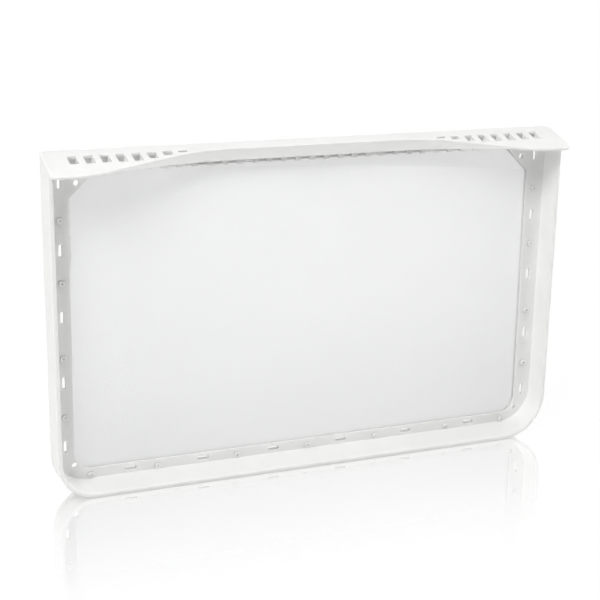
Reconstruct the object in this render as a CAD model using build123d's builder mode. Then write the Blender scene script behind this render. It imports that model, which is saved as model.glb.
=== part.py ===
from build123d import *
import math
import os

os.makedirs("parts", exist_ok=True)

# A lint filter that stands on its bottom edge. X runs across it, its open side faces -Y and +Z is up.
# Depths are measured from the flange face, the plane that the mesh opening is cut in.

# Handle plate
PLATE_W = 300.0
PLATE_T = 1.5
PLATE_TOP = 185.0
PLATE_SLOPE = 19.0
PLATE_LIP = 23.5
PLATE_BACK = 2.2
PLATE_OVERHANG = 0.3
PLATE_FRONT_R = 3.0
PLATE_BACK_LEFT_R = 1.5
PLATE_BACK_RIGHT_R = 5.0
PLATE_ROUND = 0.5

# Finger scoop in the front edge of the plate, and the skirt below it
SCOOP_BRIDGE = 7.6
SCOOP_LIP = 21.5
SCOOP_RAMP = 60.5
SCOOP_FLOOR_R = 115.0
SCOOP_MOUTH_R = 55.0
SKIRT_T = 1.3
SKIRT_SETBACK = 0.4
SKIRT_DROP = 8.7

# Slots across the plate
SLOT_PITCH = 8.44
SLOT_W = 5.0
SLOT_MARGIN = 12.0
SLOT_BACK = 6.7
SLOT_FRONT = 14.7
SLOT_SHORTEST = 1.2

# Bars between the slots, which reach down below the plate, and a locating rib at each end of the plate
BAR_DROP = 3.8
END_RIB_T = 1.6
END_RIB_DROP = 4.0
END_RIB_BACK = 2.0
END_RIB_FRONT = 12.0
FIT_GAP = 0.2

# Walls of the tray, which lean outwards up to the plate and have a tighter corner on the left
TRAY_DRAFT = 1.4
WALL_T = 2.4
RIM_REACH = 14.3
LEFT_R = 21.0
RIGHT_R = 26.5
RIM_BEVEL = 0.4
BOTTOM_RISE = 3.7

# Flange and its opening, with a row of notches along the top edge
FLANGE_T = 1.6
FLANGE_SIDE = 12.3
OPEN_BOTTOM = 11.8
OPEN_DROP = 11.9
OPEN_R = 9.0
OPEN_CUT = 13.5
NOTCH_W = 5.8
NOTCH_FLANK = 76.0
NOTCH_H = 3.6
LOW_NOTCH_H = 1.2

# Slots and holes through the flange, set out from the opening
KEY_LENGTH = 6.9
KEY_W = 2.1
KEY_OUT = 4.7
SIDE_KEY_BOTTOM = 25.3
SIDE_KEY_PITCH = 35.9
FOOT_KEY_DROP = 3.1
FOOT_KEY_PITCH = 42.0
FOOT_KEY_MARGIN = 28.0
HOLE_D = 3.0
LOW_HOLE_RISE = 2.5
HIGH_HOLE_IN = 4.3
HIGH_HOLE_DROP = 4.9

# Mesh, whose weave is drawn as a coarse grid of openings that passes the same share of air
MESH_T = 0.3
MESH_LAP = 1.8
MESH_R = 14.0
MESH_CUT_LAP = 1.0
MESH_BORDER = 3.0
MESH_CELLS_ACROSS = 12
MESH_CELLS_UP = 7
MESH_OPEN_SHARE = 0.49

# Clamp frame behind the mesh, and its pins
CLAMP_T = 1.8
CLAMP_INSET = 3.0
CLAMP_SETBACK = 0.5
CLAMP_KEY_GAP = 0.3
CLAMP_KEY_OUT = 1.3
CLAMP_HOLE_D = 4.4
PIN_D = 2.0
PIN_SIDES = 8
PIN_HOLE_GAP = 0.1
HEAD_D = 3.2
HEAD_SIDES = 12
HEAD_H = 0.75
HEAD_BEVEL = 0.5
SIDE_PIN_RISES = (16.7, 13.7, 18.5, 16.0)
FOOT_PIN_X = (43.0, 89.5)
FOOT_PIN_MARGIN = 8.7
FOOT_PIN_DROP = 3.85
TOP_PIN_GAPS = (4, 8, 12)
TOP_PIN_DROP = 8.9

# Depths of the faces, with the whole filter centred about y = 0
DEPTH = PLATE_LIP + FLANGE_T + MESH_T + CLAMP_T
FLANGE_Y = PLATE_LIP - DEPTH / 2
RIM_Y = FLANGE_Y - RIM_REACH
MESH_Y = FLANGE_Y + FLANGE_T
CLAMP_Y = MESH_Y + MESH_T

# Heights that hang from the plate
half_plate = PLATE_W / 2
open_top = PLATE_TOP - OPEN_DROP
skirt_bottom = PLATE_TOP - SKIRT_DROP

# The plate's own plane: x across it, y up the slope to its back edge, z out of its top
slope = math.radians(PLATE_SLOPE)
up_slope = Vector(0, math.cos(slope), math.sin(slope))
plate_plane = Plane(
    origin=(0, FLANGE_Y + PLATE_BACK, PLATE_TOP),
    x_dir=(1, 0, 0),
    z_dir=(0, -math.sin(slope), math.cos(slope)),
)
plate_length = (PLATE_LIP + PLATE_BACK) / math.cos(slope)
plate_underside = plate_plane.offset(-PLATE_T)
plate_middle = plate_plane.offset(-PLATE_T / 2)


def upright(y):
    """A plane that faces the open side, at depth y: its x is across the filter and its y is up."""
    return Plane.XZ.offset(-y)


def underside_height(y):
    """Height of the plate's underside at depth y."""
    back = FLANGE_Y + PLATE_BACK - y
    return PLATE_TOP - back * math.tan(slope) - PLATE_T / math.cos(slope)


def tray_half(z):
    """Half of the tray's width at height z."""
    return half_plate - PLATE_OVERHANG - TRAY_DRAFT * (1 - z / PLATE_TOP)


open_x = tray_half(0) - FLANGE_SIDE


def draw_tray(side, bottom):
    """Draw the tray's outline, with its sides and its bottom set in by these amounts."""
    foot_x = tray_half(bottom) - side
    top_x = tray_half(PLATE_TOP) - side
    trim = max(side, bottom)
    with BuildLine() as outline:
        FilletPolyline(
            (-foot_x, bottom),
            (foot_x, bottom),
            (top_x, PLATE_TOP),
            (-top_x, PLATE_TOP),
            radius=[LEFT_R - trim, RIGHT_R - trim, 0, 0],
            close=True,
        )
    make_face(outline.edges())


def draw_window(lap, low_r, cut, mode=Mode.ADD):
    """Draw an outline like the mesh opening's, larger by lap all round: round below, cut off above."""
    x = open_x + lap
    low = OPEN_BOTTOM - lap
    high = open_top + lap
    with BuildLine() as outline:
        FilletPolyline(
            (-x, low),
            (x, low),
            (x, high - cut),
            (x - cut, high),
            (cut - x, high),
            (-x, high - cut),
            radius=[low_r, low_r, 0, 0, 0, 0],
            close=True,
        )
    make_face(outline.edges(), mode=mode)


# Outline of the scoop in the plate's plane: a straight floor, and a ramp to the front edge at each side
mouth_x = half_plate - SCOOP_LIP
floor_x = mouth_x - SCOOP_RAMP
ramp = math.atan2(plate_length - SCOOP_BRIDGE, SCOOP_RAMP)
floor_tangent = SCOOP_FLOOR_R * math.tan(ramp / 2)


def scoop_edge(x):
    """Distance of the scoop's edge from the plate's back edge, x from the middle."""
    past = abs(x) - floor_x
    if past < -floor_tangent:
        return SCOOP_BRIDGE
    if past < floor_tangent * math.cos(ramp):
        return SCOOP_BRIDGE + SCOOP_FLOOR_R - math.sqrt(SCOOP_FLOOR_R**2 - (past + floor_tangent) ** 2)
    return min(SCOOP_BRIDGE + past * math.tan(ramp), plate_length)


# Slots of full length, those that the scoop cuts short, and the bars between them
skirt_depth = (SKIRT_SETBACK + SKIRT_T) / math.cos(slope)
side_slots = int((half_plate - SLOT_MARGIN - SLOT_W / 2) / SLOT_PITCH)
slots = []
bars = []
for step in range(-2 * side_slots - 1, 2 * side_slots + 2):
    place = step * SLOT_PITCH / 2
    nearest = max(abs(place) - SLOT_W / 2, 0)
    front = min(SLOT_FRONT, scoop_edge(nearest) - skirt_depth)
    if front - SLOT_BACK > SLOT_SHORTEST:
        row = bars if step % 2 else slots
        row.append((place, front))

# Slots and holes of the flange, and the pins between them
sides = (-1, 1)
key_x = open_x + KEY_OUT
side_key_count = int((open_top - SIDE_KEY_BOTTOM - KEY_LENGTH / 2) / SIDE_KEY_PITCH) + 1
side_key_heights = [SIDE_KEY_BOTTOM + k * SIDE_KEY_PITCH for k in range(side_key_count)]
side_keys = [(side * key_x, z) for side in sides for z in side_key_heights]
foot_key_z = OPEN_BOTTOM - FOOT_KEY_DROP
foot_key_pairs = int((open_x - FOOT_KEY_MARGIN) / FOOT_KEY_PITCH + 0.5)
foot_key_places = [(k + 0.5) * FOOT_KEY_PITCH for k in range(foot_key_pairs)]
foot_keys = [(side * x, foot_key_z) for side in sides for x in foot_key_places]
clamp_keys = [(side * (key_x + CLAMP_KEY_OUT / 2), z) for side in sides for z in side_key_heights]
holes = [(side * open_x, OPEN_BOTTOM + LOW_HOLE_RISE) for side in sides]
holes += [(side * (open_x - HIGH_HOLE_IN), open_top - HIGH_HOLE_DROP) for side in sides]
side_pin_heights = [z + rise for z, rise in zip(side_key_heights, SIDE_PIN_RISES)]
foot_pin_z = OPEN_BOTTOM - FOOT_PIN_DROP
top_pin_z = PLATE_TOP - TOP_PIN_DROP
pins = [(0, foot_pin_z)]
pins += [(side * x, foot_pin_z) for side in sides for x in (*FOOT_PIN_X, open_x - FOOT_PIN_MARGIN)]
pins += [(side * key_x, z) for side in sides for z in side_pin_heights]
pins += [(side * (gap + 0.5) * SLOT_PITCH, top_pin_z) for side in sides for gap in TOP_PIN_GAPS]

# Notches in the opening's top edge, low ones where a pin stands above
notches = []
for gap in range(int((open_x - OPEN_CUT) / SLOT_PITCH)):
    notch_h = LOW_NOTCH_H if gap in TOP_PIN_GAPS else NOTCH_H
    notches += [(side * (gap + 0.5) * SLOT_PITCH, notch_h) for side in sides]


# Front frame: the walls, which taper at the bottom, and the flange behind them
with BuildPart() as front_frame:
    for rim_inset, inset, how in ((RIM_BEVEL, 0, Mode.ADD), (WALL_T - RIM_BEVEL, WALL_T, Mode.SUBTRACT)):
        with BuildSketch(upright(RIM_Y)):
            draw_tray(rim_inset, rim_inset)
        with BuildSketch(upright(RIM_Y + RIM_BEVEL)):
            draw_tray(inset, inset)
        with BuildSketch(upright(FLANGE_Y)):
            draw_tray(inset, inset + BOTTOM_RISE)
        loft(ruled=True, mode=how)
    with BuildSketch(upright(FLANGE_Y)):
        draw_tray(0, 0)
    extrude(amount=-FLANGE_T)
    split(bisect_by=plate_underside, keep=Keep.BOTTOM)
    with BuildSketch(upright(FLANGE_Y)):
        draw_window(0, OPEN_R, OPEN_CUT)
        for notch_x, notch_h in notches:
            with Locations((notch_x, open_top)):
                Trapezoid(NOTCH_W, notch_h, NOTCH_FLANK, align=(Align.CENTER, Align.MIN))
        with Locations(*side_keys):
            SlotOverall(KEY_LENGTH, KEY_W, rotation=90)
        with Locations(*foot_keys):
            SlotOverall(KEY_LENGTH, KEY_W)
        with Locations(*holes):
            Circle(HOLE_D / 2)
        with Locations(*pins):
            RegularPolygon(PIN_D / 2 + PIN_HOLE_GAP, PIN_SIDES)
    extrude(amount=-FLANGE_T, mode=Mode.SUBTRACT)

front_frame.part.label = "front_frame"
export_step(front_frame.part, "parts/front_frame.step")


# Mesh: a thin sheet that laps over the back of the flange, all round the opening, with its grid inside
cell_w = 2 * open_x / MESH_CELLS_ACROSS
cell_h = (open_top - OPEN_BOTTOM) / MESH_CELLS_UP
open_side = math.sqrt(MESH_OPEN_SHARE)
with BuildPart() as mesh_screen:
    with BuildSketch(upright(MESH_Y)):
        draw_window(MESH_LAP, MESH_R, OPEN_CUT + 2 * MESH_LAP - math.sqrt(2) * MESH_CUT_LAP)
    extrude(amount=-MESH_T)
    with BuildSketch(upright(MESH_Y)):
        with Locations((0, (OPEN_BOTTOM + open_top) / 2)):
            with GridLocations(cell_w, cell_h, MESH_CELLS_ACROSS, MESH_CELLS_UP):
                Rectangle(cell_w * open_side, cell_h * open_side)
        draw_window(-MESH_BORDER, OPEN_R - MESH_BORDER, OPEN_CUT, mode=Mode.INTERSECT)
    extrude(amount=-MESH_T, mode=Mode.SUBTRACT)

mesh_screen.part.label = "mesh_screen"
export_step(mesh_screen.part, "parts/mesh_screen.step")


# Clamp frame: a flat ring behind the mesh, with pins through the flange and a domed head on each
with BuildPart() as rear_clamp_frame:
    with BuildSketch(upright(CLAMP_Y)):
        draw_tray(CLAMP_INSET, 0)
    extrude(amount=-CLAMP_T)
    split(bisect_by=Plane.XY.offset(underside_height(MESH_Y) - CLAMP_INSET), keep=Keep.BOTTOM)
    with BuildSketch(upright(CLAMP_Y)):
        draw_window(CLAMP_SETBACK, OPEN_R, OPEN_CUT + 2 * CLAMP_SETBACK)
        with Locations(*clamp_keys):
            Rectangle(KEY_W + CLAMP_KEY_GAP + CLAMP_KEY_OUT, KEY_LENGTH + CLAMP_KEY_GAP)
        with Locations(*foot_keys):
            Rectangle(KEY_LENGTH + CLAMP_KEY_GAP, KEY_W + CLAMP_KEY_GAP)
        with Locations(*holes):
            Circle(CLAMP_HOLE_D / 2)
    extrude(amount=-CLAMP_T, mode=Mode.SUBTRACT)
    with BuildSketch(upright(CLAMP_Y)):
        with Locations(*pins):
            RegularPolygon(PIN_D / 2, PIN_SIDES)
    extrude(amount=MESH_T + FLANGE_T)
    with BuildSketch(upright(FLANGE_Y)):
        with Locations(*pins):
            RegularPolygon(HEAD_D / 2, HEAD_SIDES)
    extrude(amount=HEAD_H)
    chamfer(rear_clamp_frame.edges().group_by(Axis.Y)[0], HEAD_BEVEL)

rear_clamp_frame.part.label = "rear_clamp_frame"
export_step(rear_clamp_frame.part, "parts/rear_clamp_frame.step")


# Handle grille: the sloping plate with its scoop, the upright skirt along the scoop, and the bars
bridge_y = FLANGE_Y + PLATE_BACK - SCOOP_BRIDGE * math.cos(slope)
skirt_y = bridge_y + SKIRT_SETBACK + SKIRT_T / 2
ramp_depth = (plate_length - SCOOP_BRIDGE) * math.cos(slope)
end_rib_y = FLANGE_Y - END_RIB_FRONT
end_rib_bottom = underside_height(end_rib_y) - END_RIB_DROP
end_rib_x = tray_half(end_rib_bottom) - WALL_T - FIT_GAP - END_RIB_T / 2

with BuildPart() as top_grille:
    with BuildSketch(Plane.XY.offset(skirt_bottom)):
        with BuildLine():
            FilletPolyline(
                (-mouth_x, skirt_y - ramp_depth),
                (-floor_x, skirt_y),
                (floor_x, skirt_y),
                (mouth_x, skirt_y - ramp_depth),
                radius=SCOOP_FLOOR_R,
            )
        trace(line_width=SKIRT_T)
    extrude(amount=PLATE_TOP - skirt_bottom)
    split(bisect_by=plate_middle, keep=Keep.BOTTOM)
    with BuildSketch(plate_middle):
        for bar_x, front in bars:
            with Locations((bar_x, -SLOT_BACK)):
                Rectangle(SLOT_PITCH - SLOT_W, front - SLOT_BACK, align=(Align.CENTER, Align.MAX))
    extrude(amount=-(PLATE_T / 2 + BAR_DROP))
    with BuildSketch(upright(end_rib_y)):
        with Locations((-end_rib_x, end_rib_bottom), (end_rib_x, end_rib_bottom)):
            Rectangle(END_RIB_T, END_RIB_DROP + PLATE_T / 2, align=(Align.CENTER, Align.MIN))
    extrude(amount=(END_RIB_FRONT - END_RIB_BACK) / math.cos(slope), dir=up_slope)
    with BuildSketch(plate_plane):
        with BuildLine():
            FilletPolyline(
                (-half_plate, 0),
                (half_plate, 0),
                (half_plate, -plate_length),
                (mouth_x, -plate_length),
                (floor_x, -SCOOP_BRIDGE),
                (-floor_x, -SCOOP_BRIDGE),
                (-mouth_x, -plate_length),
                (-half_plate, -plate_length),
                radius=[PLATE_BACK_LEFT_R, PLATE_BACK_RIGHT_R, PLATE_FRONT_R, SCOOP_MOUTH_R]
                + [SCOOP_FLOOR_R] * 2 + [SCOOP_MOUTH_R, PLATE_FRONT_R],
                close=True,
            )
        make_face()
    extrude(amount=-PLATE_T)
    plate_top = top_grille.faces().sort_by(Axis(plate_plane.origin, plate_plane.z_dir))[-1]
    fillet(plate_top.outer_wire().edges(), PLATE_ROUND)
    with BuildSketch(plate_plane):
        for slot_x, front in slots:
            with Locations((slot_x, -SLOT_BACK)):
                Rectangle(SLOT_W, front - SLOT_BACK, align=(Align.CENTER, Align.MAX))
    extrude(amount=-PLATE_T, mode=Mode.SUBTRACT)

top_grille.part.label = "top_grille"
export_step(top_grille.part, "parts/top_grille.step")
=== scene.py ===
# %% [markdown]
# # A lint filter from a tumble dryer
#
# The filter is a shallow white tray with a fine mesh in its back, hung under a sloping handle plate.
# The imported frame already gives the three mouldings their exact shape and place. This lesson adds what a
# mould drawing leaves out: the threads of the mesh, the melted heads that lock the frames together, the
# satin of the plastic, and a bright plain room to see them in.

# %% Load the fixed frame
import math

import bmesh
import bpy
from mathutils import Matrix, Vector


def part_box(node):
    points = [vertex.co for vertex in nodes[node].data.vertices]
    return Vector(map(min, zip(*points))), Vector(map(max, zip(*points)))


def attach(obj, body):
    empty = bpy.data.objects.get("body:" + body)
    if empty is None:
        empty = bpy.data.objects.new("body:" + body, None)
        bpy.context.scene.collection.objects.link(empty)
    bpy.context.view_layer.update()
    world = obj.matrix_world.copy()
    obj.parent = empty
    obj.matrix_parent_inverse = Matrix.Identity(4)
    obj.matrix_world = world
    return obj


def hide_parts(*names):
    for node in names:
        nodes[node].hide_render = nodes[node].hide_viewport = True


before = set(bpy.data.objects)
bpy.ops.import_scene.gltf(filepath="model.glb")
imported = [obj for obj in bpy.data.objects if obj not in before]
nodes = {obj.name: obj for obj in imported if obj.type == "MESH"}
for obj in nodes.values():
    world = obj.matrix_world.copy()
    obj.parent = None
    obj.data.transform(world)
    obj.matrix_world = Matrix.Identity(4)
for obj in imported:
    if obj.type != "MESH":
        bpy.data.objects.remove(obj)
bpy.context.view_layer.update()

MM = 0.001
print("nodes:", ", ".join(sorted(nodes)))

# %% [markdown]
# ## Shader sums that read like sums
#
# A finish is easier to follow when it is written as arithmetic. `Wire` stands for one output of a shader
# node, and its operators make the Math, Vector Math or Mix node that the sum needs. The reflected forms
# let a plain number stand on the left. `Finish` owns a material's node tree, and its `node` method is the
# only place where nodes are made: type first, then settings, then the values or wires of its sockets.


# %% A wire and the tree that it belongs to
class Wire:
    """One output of a shader node, which takes part in sums like a number."""

    def __init__(self, finish, socket):
        self.finish = finish
        self.socket = socket

    def __add__(self, other):
        return self.finish.sum("ADD", self, other)

    def __radd__(self, other):
        return self.finish.sum("ADD", other, self)

    def __sub__(self, other):
        return self.finish.sum("SUBTRACT", self, other)

    def __rsub__(self, other):
        return self.finish.sum("SUBTRACT", other, self)

    def __mul__(self, other):
        return self.finish.sum("MULTIPLY", self, other)

    def __rmul__(self, other):
        return self.finish.sum("MULTIPLY", other, self)

    def __truediv__(self, other):
        return self.finish.sum("DIVIDE", self, other)

    def __rtruediv__(self, other):
        return self.finish.sum("DIVIDE", other, self)

    def ramp(self, low, high):
        """0 where the wire is at low, 1 where it is at high, and smooth between the two."""
        settings = {"interpolation_type": "SMOOTHSTEP"}
        inputs = {"Value": self, "From Min": low, "From Max": high}
        return self.finish.wire("ShaderNodeMapRange", settings, inputs)


class Finish:
    """A node tree, of a material or of the world, and the one method that adds nodes to it."""

    def __init__(self, tree):
        self.tree = tree
        self.tree.nodes.clear()

    def node(self, kind, settings, inputs):
        made = self.tree.nodes.new(kind)
        for name, value in settings.items():
            setattr(made, name, value)
        for key, value in inputs.items():
            if isinstance(value, Wire):
                self.tree.links.new(value.socket, made.inputs[key])
            else:
                made.inputs[key].default_value = value
        return made

    def wire(self, kind, settings, inputs, output=0):
        return Wire(self, self.node(kind, settings, inputs).outputs[output])

    def sum(self, operation, a, b):
        kinds = {v.socket.type for v in (a, b) if isinstance(v, Wire)}
        if "RGBA" in kinds:
            settings = {"data_type": "RGBA", "blend_type": operation}
            return self.wire("ShaderNodeMix", settings, {0: 1.0, 6: a, 7: b}, 2)
        kind = "ShaderNodeVectorMath" if "VECTOR" in kinds else "ShaderNodeMath"
        return self.wire(kind, {"operation": operation}, {0: a, 1: b})

    def blend(self, share, a, b):
        """Colour a where share is 0, colour b where it is 1."""
        return self.wire("ShaderNodeMix", {"data_type": "RGBA"}, {0: share, 6: a, 7: b}, 2)

    def place(self, stretch=(1.0, 1.0, 1.0)):
        """The place on the object in metres, with each axis multiplied by its stretch."""
        here = self.wire("ShaderNodeTexCoord", {}, {}, "Object")
        return here * stretch

    def noise(self, where, scale, detail=2.0):
        inputs = {"Vector": where, "Scale": scale, "Detail": detail}
        return self.wire("ShaderNodeTexNoise", {}, inputs, "Fac")

    def along(self, where, axis):
        """One coordinate of a place, by the letter of its axis."""
        return self.wire("ShaderNodeSeparateXYZ", {}, {"Vector": where}, axis)

    def height(self, where, z_low, z_high):
        """0 at height z_low and 1 at height z_high, in metres."""
        return self.along(where, "Z").ramp(z_low, z_high)

    def surface(self, shader):
        self.node("ShaderNodeOutputMaterial", {}, {"Surface": shader})


def new_material(name):
    material = bpy.data.materials.new(name)
    material.use_nodes = True
    return material, Finish(material.node_tree)


def add_object(name, data):
    made = bpy.data.objects.new(name, data)
    bpy.context.scene.collection.objects.link(made)
    return made


# %% [markdown]
# ## White moulded plastic
#
# The frames and the handle plate are injection moulded from a white that leans a little warm. A mould
# with a fine spark-eroded skin leaves a satin surface, so the roughness is middling and a grain under a
# millimetre across goes into the bump. Two slow drifts of tone keep large faces from looking printed.
# Handling adds the rest: short hairline scuffs that run along the part, dull and a shade darker. The
# plastic lets light in a millimetre or two deep, so slots and thin edges glow instead of going dark.

# %% The plastic's nodes
PLASTIC_WHITE = (0.905, 0.908, 0.893, 1.0)
PLASTIC_SHADE = (0.880, 0.884, 0.866, 1.0)
SCUFF_GREY = (0.70, 0.70, 0.68, 1.0)
SCUFF_SHARE = 0.35
SCUFF_STRETCH = (70.0, 600.0, 900.0)
HAIR_RANGE = (0.66, 0.72)
PATCH_RANGE = (0.52, 0.66)
TONE_RANGE = (0.35, 0.68)
DRIFT_SCALE = 22.0
CLOUD_SCALE = 90.0
GRAIN_SCALE = 2600.0
GRAIN_DEPTH = 0.04 * MM
GRAIN_STRENGTH = 0.12
PLASTIC_IOR = 1.49
LIGHT_DEPTH = 1.8 * MM


def make_plastic(name, pale, shaded):
    material, finish = new_material(name)
    here = finish.place()
    drift = finish.noise(here, DRIFT_SCALE, 3.0)
    cloud = finish.noise(here, CLOUD_SCALE, 2.0)
    hairs = finish.noise(finish.place(SCUFF_STRETCH), 1.0, 1.0)
    scuff = hairs.ramp(*HAIR_RANGE) * cloud.ramp(*PATCH_RANGE)
    tone = (drift * 0.7 + cloud * 0.3).ramp(*TONE_RANGE)
    colour = finish.blend(tone, pale, shaded)
    worn = finish.blend(scuff * SCUFF_SHARE, colour, SCUFF_GREY)
    grain = finish.noise(here, GRAIN_SCALE, 2.0)
    relief = grain * 0.8 + hairs * 0.2
    skin = {"Strength": GRAIN_STRENGTH, "Distance": GRAIN_DEPTH, "Height": relief}
    bump = finish.wire("ShaderNodeBump", {}, skin)
    shader = finish.wire(
        "ShaderNodeBsdfPrincipled",
        {},
        {
            "Base Color": worn,
            "Roughness": 0.36 + cloud * 0.14 + scuff * 0.15,
            "Normal": bump,
            "IOR": PLASTIC_IOR,
            "Subsurface Weight": 1.0,
            "Subsurface Radius": (1.0, 1.0, 1.0),
            "Subsurface Scale": LIGHT_DEPTH,
        },
    )
    finish.surface(shader)
    return material


plastic = make_plastic("white_plastic", PLASTIC_WHITE, PLASTIC_SHADE)
for name in ("front_frame", "rear_clamp_frame", "top_grille"):
    nodes[name].data.materials.clear()
    nodes[name].data.materials.append(plastic)
print("plastic nodes:", len(plastic.node_tree.nodes))

# %% [markdown]
# ## The woven mesh
#
# Lint is finer than sand, so the sheet has about four threads to the millimetre. At that count a picture
# on the sheet would shimmer, and a see-through grey would look like glass, so the threads are real: one
# layer upright, one layer across behind it. Each thread is a diamond in section, shaded smooth, and
# stops at the sheet's own outline: round at the lower corners, cut off at the upper ones.

# %% Where the sheet begins and ends
SHEET_LOW, SHEET_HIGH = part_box("mesh_screen")
LOWER_R = 14.0 * MM
UPPER_CUT = 15.686 * MM
PITCH = 0.25 * MM
THREAD = 0.075 * MM
RIGHT = Vector((1, 0, 0))
UP = Vector((0, 0, 1))
half_width = SHEET_HIGH.x


def upright_ends(x):
    """Lowest and highest point of the sheet at this distance from its middle."""
    past_corner = max(abs(x) - (half_width - LOWER_R), 0.0)
    low = SHEET_LOW.z + LOWER_R - math.sqrt(LOWER_R**2 - past_corner**2)
    high = SHEET_HIGH.z - max(abs(x) - (half_width - UPPER_CUT), 0.0)
    return low, high


def across_end(z):
    """How far the sheet reaches to each side at this height."""
    below = max(SHEET_LOW.z + LOWER_R - z, 0.0)
    above = max(z - (SHEET_HIGH.z - UPPER_CUT), 0.0)
    return half_width - LOWER_R + math.sqrt(LOWER_R**2 - below**2) - above


# %% Lay the threads
def add_thread(points, faces, ends, sideways):
    """One closed thread between its two ends, a diamond in section."""
    first = len(points)
    reach = THREAD / 2
    corners = (sideways * reach, Vector((0, reach, 0)), -sideways * reach, Vector((0, -reach, 0)))
    for middle in ends:
        points.extend(middle + corner for corner in corners)
    for k in range(4):
        after = (k + 1) % 4
        faces.append((first + k, first + after, first + 4 + after, first + 4 + k))
    faces.append((first + 3, first + 2, first + 1, first))
    faces.append((first + 4, first + 5, first + 6, first + 7))


def middles(low, high):
    """Evenly spaced places between two edges, about one pitch apart."""
    count = int((high - low) / PITCH)
    step = (high - low) / count
    return [low + (k + 0.5) * step for k in range(count)]


def weave():
    points = []
    faces = []
    front_y = SHEET_LOW.y + THREAD
    back_y = front_y + THREAD
    for x in middles(SHEET_LOW.x, SHEET_HIGH.x):
        ends = [Vector((x, front_y, z)) for z in upright_ends(x)]
        add_thread(points, faces, ends, RIGHT)
    for z in middles(SHEET_LOW.z, SHEET_HIGH.z):
        reach = across_end(z)
        ends = [Vector((x, back_y, z)) for x in (-reach, reach)]
        add_thread(points, faces, ends, UP)
    mesh = bpy.data.meshes.new("mesh_threads")
    mesh.from_pydata(points, [], faces)
    tidy = bmesh.new()
    tidy.from_mesh(mesh)
    bmesh.ops.recalc_face_normals(tidy, faces=tidy.faces)
    tidy.to_mesh(mesh)
    tidy.free()
    mesh.polygons.foreach_set("use_smooth", [True] * len(mesh.polygons))
    return add_object("mesh_threads", mesh)


threads = weave()
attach(threads, "root")
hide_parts("mesh_screen")
print("threads:", len(threads.data.polygons) // 6)

# %% [markdown]
# ## A finish for the threads
#
# The threads are bare white polyester, a little greyer than the moulding. No two spools are quite the
# same, so streaks run along the threads in both directions, and a slow cloud across the sheet stands for
# the lint that has been brushed off it many times. Painted shade makes the sheet greyer towards its left
# side, most of all low down, and a thin wavering dark line up the left edge is a painted shadow line.

# %% The mesh's nodes
THREAD_WHITE = (0.965, 0.97, 0.97, 1.0)
THREAD_GREY = (0.84, 0.845, 0.85, 1.0)
# Painted shadow: a thin wavering dark line on the threads beside the flange's left edge.
SHADOW_LINE_GREY = (0.25, 0.25, 0.25, 1.0)
SHADOW_LINE_X = -135.4 * MM
SHADOW_LINE_HALF = 0.4 * MM
SHADOW_LINE_SWAY = 1.4 * MM
SWAY_STRETCH = (0.0, 0.0, 110.0)
SHADOW_LINE_SHARE = 0.8
SHADOW_LINE_START = (118.0 * MM, 126.0 * MM)
SHADOW_LINE_END = (156.0 * MM, 164.0 * MM)
# Painted shade: the threads turn greyer towards the left side of the sheet, and more so low down.
LOW_SHADE_HEIGHTS = (12.0 * MM, 60.0 * MM)
LEFT_SHADE_SPAN = (-130.0 * MM, 50.0 * MM)
LINT_CLOUD_SCALE = 18.0
LINT_CLOUD_RANGE = (0.35, 0.7)
STREAK_SHARE = 0.12
CLOUD_SHARE = 0.15
LEFT_SHADE_SHARE = 0.35
LOW_SHADE_SHARE = 0.3
UPRIGHT_STRETCH = (900.0, 1.0, 6.0)
CROSS_STRETCH = (6.0, 1.0, 900.0)


def make_mesh_finish():
    material, finish = new_material("mesh")
    upright_streaks = finish.noise(finish.place(UPRIGHT_STRETCH), 1.0, 2.0)
    cross_streaks = finish.noise(finish.place(CROSS_STRETCH), 1.0, 2.0)
    here = finish.place()
    cloud = finish.noise(here, LINT_CLOUD_SCALE, 3.0)
    # Painted shade, greyer towards the left and towards the bottom of the sheet.
    low_shade = 1.0 - finish.height(here, *LOW_SHADE_HEIGHTS)
    across = finish.along(here, "X")
    left_shade = 1.0 - across.ramp(*LEFT_SHADE_SPAN)
    streaks = (upright_streaks + cross_streaks) * STREAK_SHARE
    brushed = cloud.ramp(*LINT_CLOUD_RANGE) * CLOUD_SHARE
    # Random streaks and cloud, plus the painted shade on the low left.
    tone_and_shade = streaks + brushed + left_shade * (LEFT_SHADE_SHARE + low_shade * LOW_SHADE_SHARE)
    # Painted shadow line beside the flange's left edge, wavering along its height, between two heights.
    sway = finish.noise(finish.place(SWAY_STRETCH), 1.0, 1.0) - 0.5
    off_shadow_line = (across - SHADOW_LINE_X + sway * SHADOW_LINE_SWAY) / SHADOW_LINE_HALF
    shadow_line = 1.0 - (off_shadow_line * off_shadow_line).ramp(0.2, 1.0)
    stretch = finish.height(here, *SHADOW_LINE_START) * (1.0 - finish.height(here, *SHADOW_LINE_END))
    painted_shadow_line = shadow_line * stretch * SHADOW_LINE_SHARE
    weave_tone = finish.blend(tone_and_shade, THREAD_WHITE, THREAD_GREY)
    shader = finish.wire(
        "ShaderNodeBsdfPrincipled",
        {},
        {
            "Base Color": finish.blend(painted_shadow_line, weave_tone, SHADOW_LINE_GREY),
            "Roughness": 0.45 + cloud * 0.2,
            "Sheen Weight": 0.1,
        },
    )
    finish.surface(shader)
    return material


threads.data.materials.append(make_mesh_finish())

# %% [markdown]
# ## Melted stake heads
#
# Pins on the back frame come through holes in the flange, and a hot tool rounds each end over into a low
# bead with a dimple in the middle. Rings of points follow half of an ellipse from the flange over the
# bead's crest and down into the dimple, and one point closes its floor. The faces down in the dimple get a
# darker copy of the plastic: painted shade for the hollow of the dimple.

# %% Build the beads
FLANGE_FACE = 9.9 * MM
CREST_R = 1.0 * MM
BEAD_HALF = 0.75 * MM
HEAD_RISE = 1.15 * MM
CREST_TURN = 90.0
DIMPLE_TURN = 135.0
HEAD_RINGS = 9
HEAD_SIDES = 20
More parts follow.
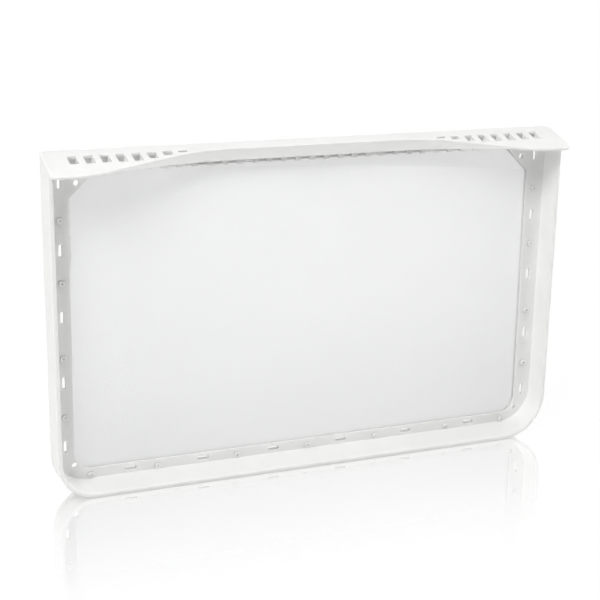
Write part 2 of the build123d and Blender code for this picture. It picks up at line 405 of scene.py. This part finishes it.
# Material slots: the plain plastic, and a darker copy painted as shade inside the dimples.
PLAIN_FACE, SHADED_DIMPLE = 0, 1
DIMPLE_SHADE_PALE = (0.78, 0.78, 0.76, 1.0)
DIMPLE_SHADE_DARK = (0.68, 0.68, 0.66, 1.0)
SLOT_PITCH = 8.44 * MM
SIDE_X = 140.7 * MM
SIDE_HEIGHTS = [h * MM for h in (42.0, 74.9, 115.6, 149.0)]
FOOT_Z = 7.95 * MM
FOOT_X = [x * MM for x in (43.0, 89.5, 127.3)]
TOP_Z = 176.1 * MM
TOP_X = [(gap + 0.5) * SLOT_PITCH for gap in (4, 8, 12)]

head_places = [(0.0, FOOT_Z)]
for side in (-1, 1):
    head_places += [(side * SIDE_X, z) for z in SIDE_HEIGHTS]
    head_places += [(side * x, FOOT_Z) for x in FOOT_X]
    head_places += [(side * x, TOP_Z) for x in TOP_X]


def bead_ring(shape, x, z, turn):
    """One ring of points, at this turn around the bead's section."""
    out = CREST_R + BEAD_HALF * math.cos(turn)
    y = FLANGE_FACE - HEAD_RISE * math.sin(turn)
    spokes = [2 * math.pi * s / HEAD_SIDES for s in range(HEAD_SIDES)]
    return [shape.verts.new((x + out * math.cos(a), y, z + out * math.sin(a))) for a in spokes]


def add_bead(shape, x, z):
    turns = [math.radians(DIMPLE_TURN) * k / HEAD_RINGS for k in range(HEAD_RINGS + 1)]
    rings = [bead_ring(shape, x, z, turn) for turn in turns]
    floor_y = rings[-1][0].co.y
    bottom = shape.verts.new((x, floor_y, z))
    crest = HEAD_RINGS * CREST_TURN / DIMPLE_TURN
    for s in range(HEAD_SIDES):
        after = (s + 1) % HEAD_SIDES
        for k, (lower, upper) in enumerate(zip(rings, rings[1:])):
            face = shape.faces.new((lower[s], lower[after], upper[after], upper[s]))
            # Faces past the crest, and the dimple's floor, get the darker plastic as painted shade.
            face.material_index = SHADED_DIMPLE if k > crest else PLAIN_FACE
        shape.faces.new((rings[-1][s], rings[-1][after], bottom)).material_index = SHADED_DIMPLE
    shape.faces.new(list(reversed(rings[0])))


def build_heads():
    shape = bmesh.new()
    for x, z in head_places:
        add_bead(shape, x, z)
    bmesh.ops.recalc_face_normals(shape, faces=shape.faces)
    for face in shape.faces:
        face.smooth = len(face.verts) < HEAD_SIDES
    mesh = bpy.data.meshes.new("stake_heads")
    shape.to_mesh(mesh)
    shape.free()
    return add_object("stake_heads", mesh)


heads = build_heads()
heads.data.materials.append(plastic)
# The second slot is a darker copy of the plastic, painted shade for the dimples.
heads.data.materials.append(make_plastic("dimple_shade_plastic", DIMPLE_SHADE_PALE, DIMPLE_SHADE_DARK))
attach(heads, "root")
print("stake heads:", len(head_places))

# %% [markdown]
# ## A pale floor and a white room
#
# The filter stands on glossy white sheet plastic that runs off to nothing. A mirror that covers the
# whole floor would show the filter upside down to its very top, so the gloss fades with the distance from
# the filter's foot and ends behind it, and further out the floor is as white as the room. To the camera,
# to reflections and through clear things the room is plain white at strength 1. The light that it throws
# on the filter is much weaker, and comes mostly from the wall behind it.

# %% Floor and world
FLOOR_REACH = 4.0
FOOT_REACH = (0.13, 0.013, 0.0)
ROOM_LIGHT = 0.14
BACK_WALL_LIGHT = 0.5
WHITE = (1.0, 1.0, 1.0, 1.0)
BLACK = (0.0, 0.0, 0.0, 1.0)
SHADE_GREY = (0.09, 0.09, 0.09, 1.0)
BOUNCE_GREY = (0.82, 0.82, 0.82, 1.0)
FLOOR_GLOW = 0.93
GLOSS = 0.5
GLOSS_ROUGHNESS = 0.04
GLOSS_FADE = (-0.02, 0.16)
BACK_FADE = (0.0, 0.03)
WHITE_FADE = (0.15, 0.9)
WATCHED = ("Is Camera Ray", "Is Glossy Ray", "Is Transmission Ray")


def light_path(finish, *rays):
    """1 for any of these kinds of ray, else 0."""
    path = finish.node("ShaderNodeLightPath", {}, {})
    total = Wire(finish, path.outputs[rays[0]])
    for ray in rays[1:]:
        total = finish.sum("MAXIMUM", total, Wire(finish, path.outputs[ray]))
    return total


def build_floor():
    shape = bmesh.new()
    corners = [(-1, -1), (1, -1), (1, 1), (-1, 1)]
    shape.faces.new([shape.verts.new((x * FLOOR_REACH, y * FLOOR_REACH, 0.0)) for x, y in corners])
    mesh = bpy.data.meshes.new("floor")
    shape.to_mesh(mesh)
    shape.free()
    return add_object("floor", mesh)


def from_foot(finish):
    """How far a place on the floor is from the filter's foot, in metres."""
    away = finish.wire("ShaderNodeVectorMath", {"operation": "ABSOLUTE"}, {0: finish.place()})
    past = finish.sum("MAXIMUM", away - FOOT_REACH, (0.0, 0.0, 0.0))
    return finish.wire("ShaderNodeVectorMath", {"operation": "LENGTH"}, {0: past}, "Value")


def make_floor_finish():
    material, finish = new_material("pale_floor")
    gap = from_foot(finish)
    white = finish.wire("ShaderNodeEmission", {}, {"Color": WHITE, "Strength": 1.0})
    glow = finish.wire("ShaderNodeEmission", {}, {"Color": WHITE, "Strength": FLOOR_GLOW})
    shade = finish.wire("ShaderNodeBsdfDiffuse", {}, {"Color": SHADE_GREY})
    sheet = finish.wire("ShaderNodeAddShader", {}, {0: glow, 1: shade})
    mirror = finish.wire("ShaderNodeBsdfGlossy", {}, {"Color": WHITE, "Roughness": GLOSS_ROUGHNESS})
    depth = finish.along(finish.place(), "Y")
    gloss = GLOSS * (1.0 - gap.ramp(*GLOSS_FADE)) * (1.0 - depth.ramp(*BACK_FADE))
    close = finish.wire("ShaderNodeMixShader", {}, {0: gloss, 1: sheet, 2: mirror})
    seen = finish.wire("ShaderNodeMixShader", {}, {0: gap.ramp(*WHITE_FADE), 1: close, 2: white})
    bounce = finish.wire("ShaderNodeBsdfDiffuse", {}, {"Color": BOUNCE_GREY})
    watched = light_path(finish, *WATCHED)
    finish.surface(finish.wire("ShaderNodeMixShader", {}, {0: watched, 1: bounce, 2: seen}))
    return material


floor = build_floor()
floor.data.materials.append(make_floor_finish())

room = bpy.data.worlds.new("white_room")
room.use_nodes = True
bpy.context.scene.world = room
air = Finish(room.node_tree)
watched = light_path(air, *WATCHED)
backwards = air.along(air.wire("ShaderNodeTexCoord", {}, {}, "Generated"), "Y")
dim = ROOM_LIGHT + BACK_WALL_LIGHT * air.sum("MAXIMUM", backwards, 0.0)
sky = air.blend(air.sum("MAXIMUM", watched, dim), BLACK, WHITE)
background = air.wire("ShaderNodeBackground", {}, {"Color": sky, "Strength": 1.0})
air.node("ShaderNodeOutputWorld", {}, {"Surface": background})

# %% [markdown]
# ## Soft lamps
#
# Four large panels stand around the filter, as in a light tent. The one overhead lights the plate and
# the inner floor of the tray. The key panel, high in front on the left, gives the flange and the skirt
# their soft grey and reaches the tray's right wall. The panels on the left and on the right light the
# outer walls and fill the shadow that the plate throws. All four are turned down until the plate, the
# brightest face, stays just short of pure white to the camera.

# %% Lamps
PANELS = {
    "overhead_panel": ((-0.1, -0.35, 1.4), 1.2, 6.9),
    "key_panel": ((-1.4, -1.15, 1.75), 0.9, 26.0),
    "left_panel": ((-2.3, 0.1, 0.6), 1.6, 12.5),
    "right_panel": ((2.2, -0.4, 0.6), 1.4, 26.0),
}
AIM = Vector((0.0, 0.0, 90.0)) * MM
for name, (spot, side, watts) in PANELS.items():
    lamp = bpy.data.lights.new(name, "AREA")
    lamp.shape = "SQUARE"
    lamp.size = side
    lamp.energy = watts
    holder = add_object(name, lamp)
    holder.location = spot
    holder.rotation_mode = "QUATERNION"
    holder.rotation_quaternion = (AIM - Vector(spot)).to_track_quat("-Z", "Y")

# %% [markdown]
# ## The camera
#
# The camera stands to the left, above the plate, and looks down a little. Turning it about its own
# line of sight last keeps the lean of the horizon apart from its heading and its tilt.

# %% Set the camera
EYE = Vector((-319.3, -720.2, 313.85)) * MM
HEADING = 23.22
TILT_DOWN = 15.43
LEAN = 1.0
LENS = 88.87
SENSOR = 36.0

camera = bpy.data.cameras.new("camera")
camera.lens = LENS
camera.sensor_width = SENSOR
camera.clip_start = 0.01
camera.clip_end = 50.0
viewer = add_object("camera", camera)
heading = Matrix.Rotation(math.radians(-HEADING), 4, "Z")
tilt = Matrix.Rotation(math.radians(90.0 - TILT_DOWN), 4, "X")
lean = Matrix.Rotation(math.radians(LEAN), 4, "Z")
viewer.matrix_world = Matrix.Translation(EYE) @ heading @ tilt @ lean
bpy.context.scene.camera = viewer
bpy.context.scene.view_settings.view_transform = "Standard"
